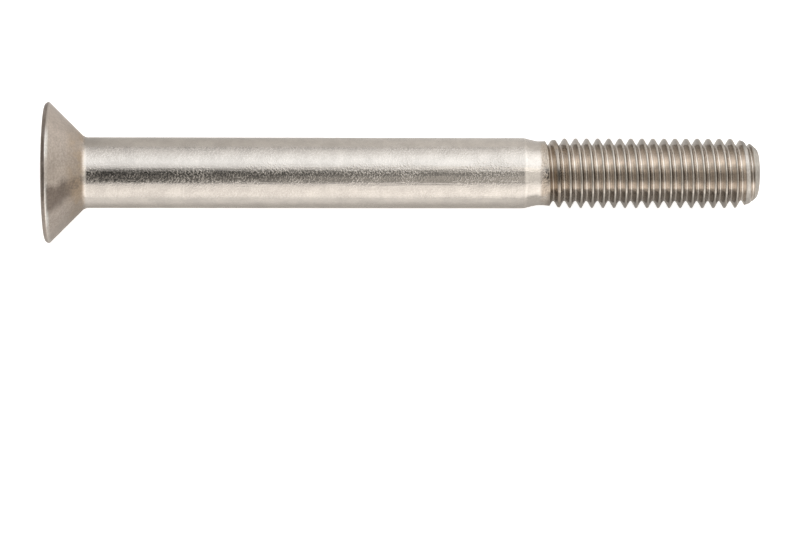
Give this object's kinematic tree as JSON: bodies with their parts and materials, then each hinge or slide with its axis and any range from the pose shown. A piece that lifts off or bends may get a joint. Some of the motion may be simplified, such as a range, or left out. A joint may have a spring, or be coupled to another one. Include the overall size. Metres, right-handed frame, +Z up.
{
  "type": "countersunk socket screw",
  "caption": "Countersunk socket screw with a conical head, a hexagon socket, a plain shank and a rolled thread on part of its length.",
  "frame": {"origin": "on the floor under the middle of the lying screw's bounding box", "axes": "+X from the head towards the point, which leans 3.0 degrees down from the level; +Z up, away from the floor that the head's rim and the thread's crests lie on; +Y the side where the thread groove reaches its full depth"},
  "size_m": [0.0804, 0.0158, 0.0158],
  "materials": {
    "steel": "satin stainless steel: finely grained drawn shank, dull forged head, browner rolled thread with bright crests"
  },
  "bodies": {
    "root": {"screw": "steel"}
  },
  "joints": []
}
